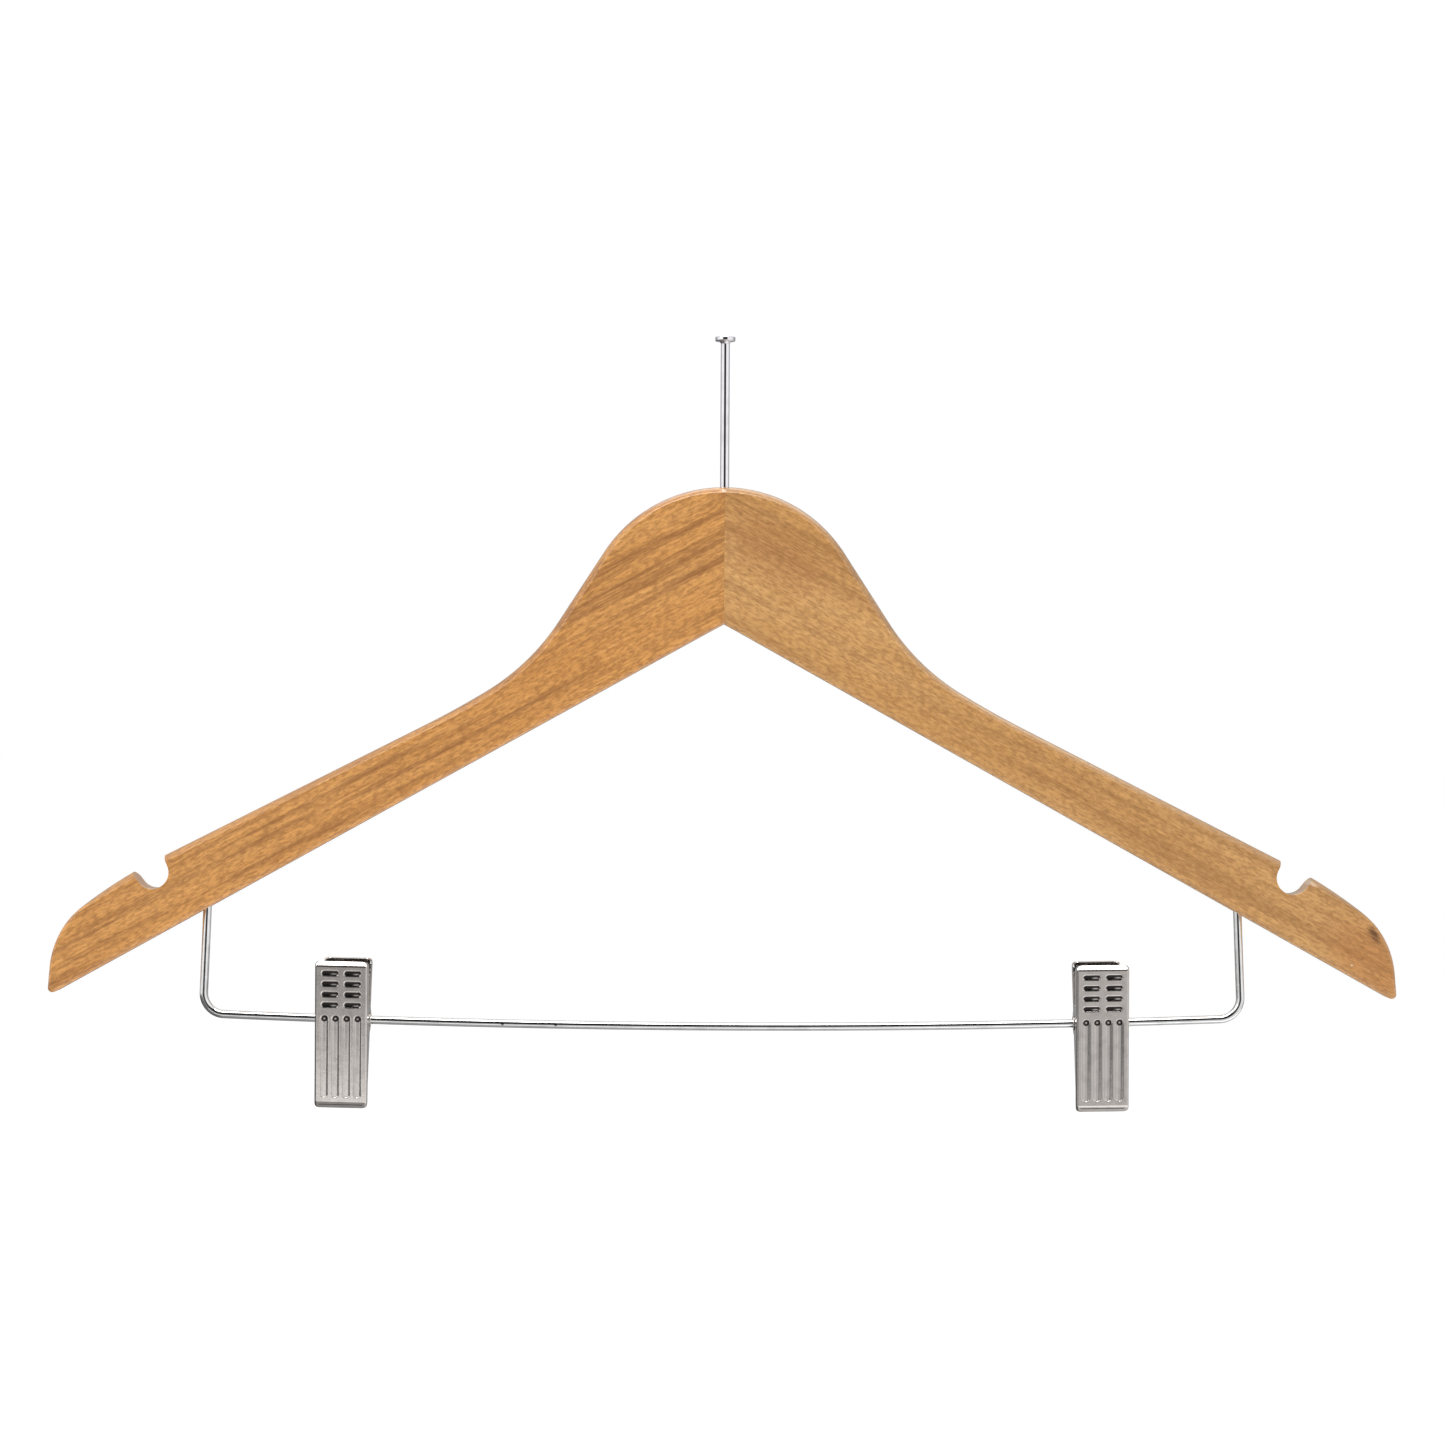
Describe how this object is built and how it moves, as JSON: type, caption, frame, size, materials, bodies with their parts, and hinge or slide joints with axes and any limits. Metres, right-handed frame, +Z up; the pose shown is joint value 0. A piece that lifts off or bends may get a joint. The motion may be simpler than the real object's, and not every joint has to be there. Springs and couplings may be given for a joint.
{
  "type": "clothes hanger",
  "caption": "Wooden hotel hanger with a nail-head swivel pin, shoulder notches and a bowed wire bar with sliding, swinging sprung metal clips.",
  "frame": {"origin": "centre of the swivel pin's head, on the pin's axis", "axes": "+X along the arms to the right arm, +Y from front to back, +Z up along the pin"},
  "size_m": [0.4446, 0.0236, 0.2557],
  "materials": {
    "varnished_wood": "clear satin varnish",
    "chromed_wire": "bright chrome plate",
    "clip_sheet": "nickel-chrome plated pressed sheet",
    "zinc_steel": "bright zinc plate",
    "spring_steel": "drawn spring wire",
    "grip_rubber": "matt moulded rubber"
  },
  "bodies": {
    "pin": {"swivel_pin": "chromed_wire", "pin_washer": "zinc_steel", "pin_lock_nut": "zinc_steel"},
    "hanger": {"left_arm": "varnished_wood", "right_arm": "varnished_wood", "clip_bar": "chromed_wire"},
    "left_clip_slider": {"left_clip_tube": "zinc_steel"},
    "left_clip_front": {"left_front_jaw": "clip_sheet", "left_front_pad": "grip_rubber", "left_clip_spring": "spring_steel"},
    "left_clip_back": {"left_back_jaw": "clip_sheet", "left_back_pad": "grip_rubber"},
    "right_clip_slider": {"right_clip_tube": "zinc_steel"},
    "right_clip_front": {"right_front_jaw": "clip_sheet", "right_front_pad": "grip_rubber", "right_clip_spring": "spring_steel"},
    "right_clip_back": {"right_back_jaw": "clip_sheet", "right_back_pad": "grip_rubber"}
  },
  "joints": [
    {"name": "pin_swivel", "type": "hinge", "parent": "pin", "child": "hanger", "pos_m": [0, 0, -0.06], "axis": [0, 0, 1], "continuous": true},
    {"name": "left_clip_slide", "type": "slide", "parent": "hanger", "child": "left_clip_slider", "axis": [-0.9998, 0, 0.0194], "range_m": [-0.1152, 0.028]},
    {"name": "left_clip_swing", "type": "hinge", "parent": "left_clip_slider", "child": "left_clip_front", "pos_m": [-0.1252, 0, -0.22559], "axis": [0.9998, 0, -0.0194], "continuous": true},
    {"name": "left_clip_open", "type": "hinge", "parent": "left_clip_front", "child": "left_clip_back", "pos_m": [-0.1252, 0, -0.22559], "axis": [0.9998, 0, -0.0194], "range_deg": [0, 35], "stiffness_Nm_per_rad": 0.25, "springref_deg": -68.75, "deforming": ["left_clip_spring"]},
    {"name": "right_clip_slide", "type": "slide", "parent": "hanger", "child": "right_clip_slider", "axis": [0.9998, 0, 0.0194], "range_m": [-0.1152, 0.028]},
    {"name": "right_clip_swing", "type": "hinge", "parent": "right_clip_slider", "child": "right_clip_front", "pos_m": [0.1252, 0, -0.22559], "axis": [0.9998, 0, 0.0194], "continuous": true},
    {"name": "right_clip_open", "type": "hinge", "parent": "right_clip_front", "child": "right_clip_back", "pos_m": [0.1252, 0, -0.22559], "axis": [0.9998, 0, 0.0194], "range_deg": [0, 35], "stiffness_Nm_per_rad": 0.25, "springref_deg": -68.75, "deforming": ["right_clip_spring"]}
  ]
}
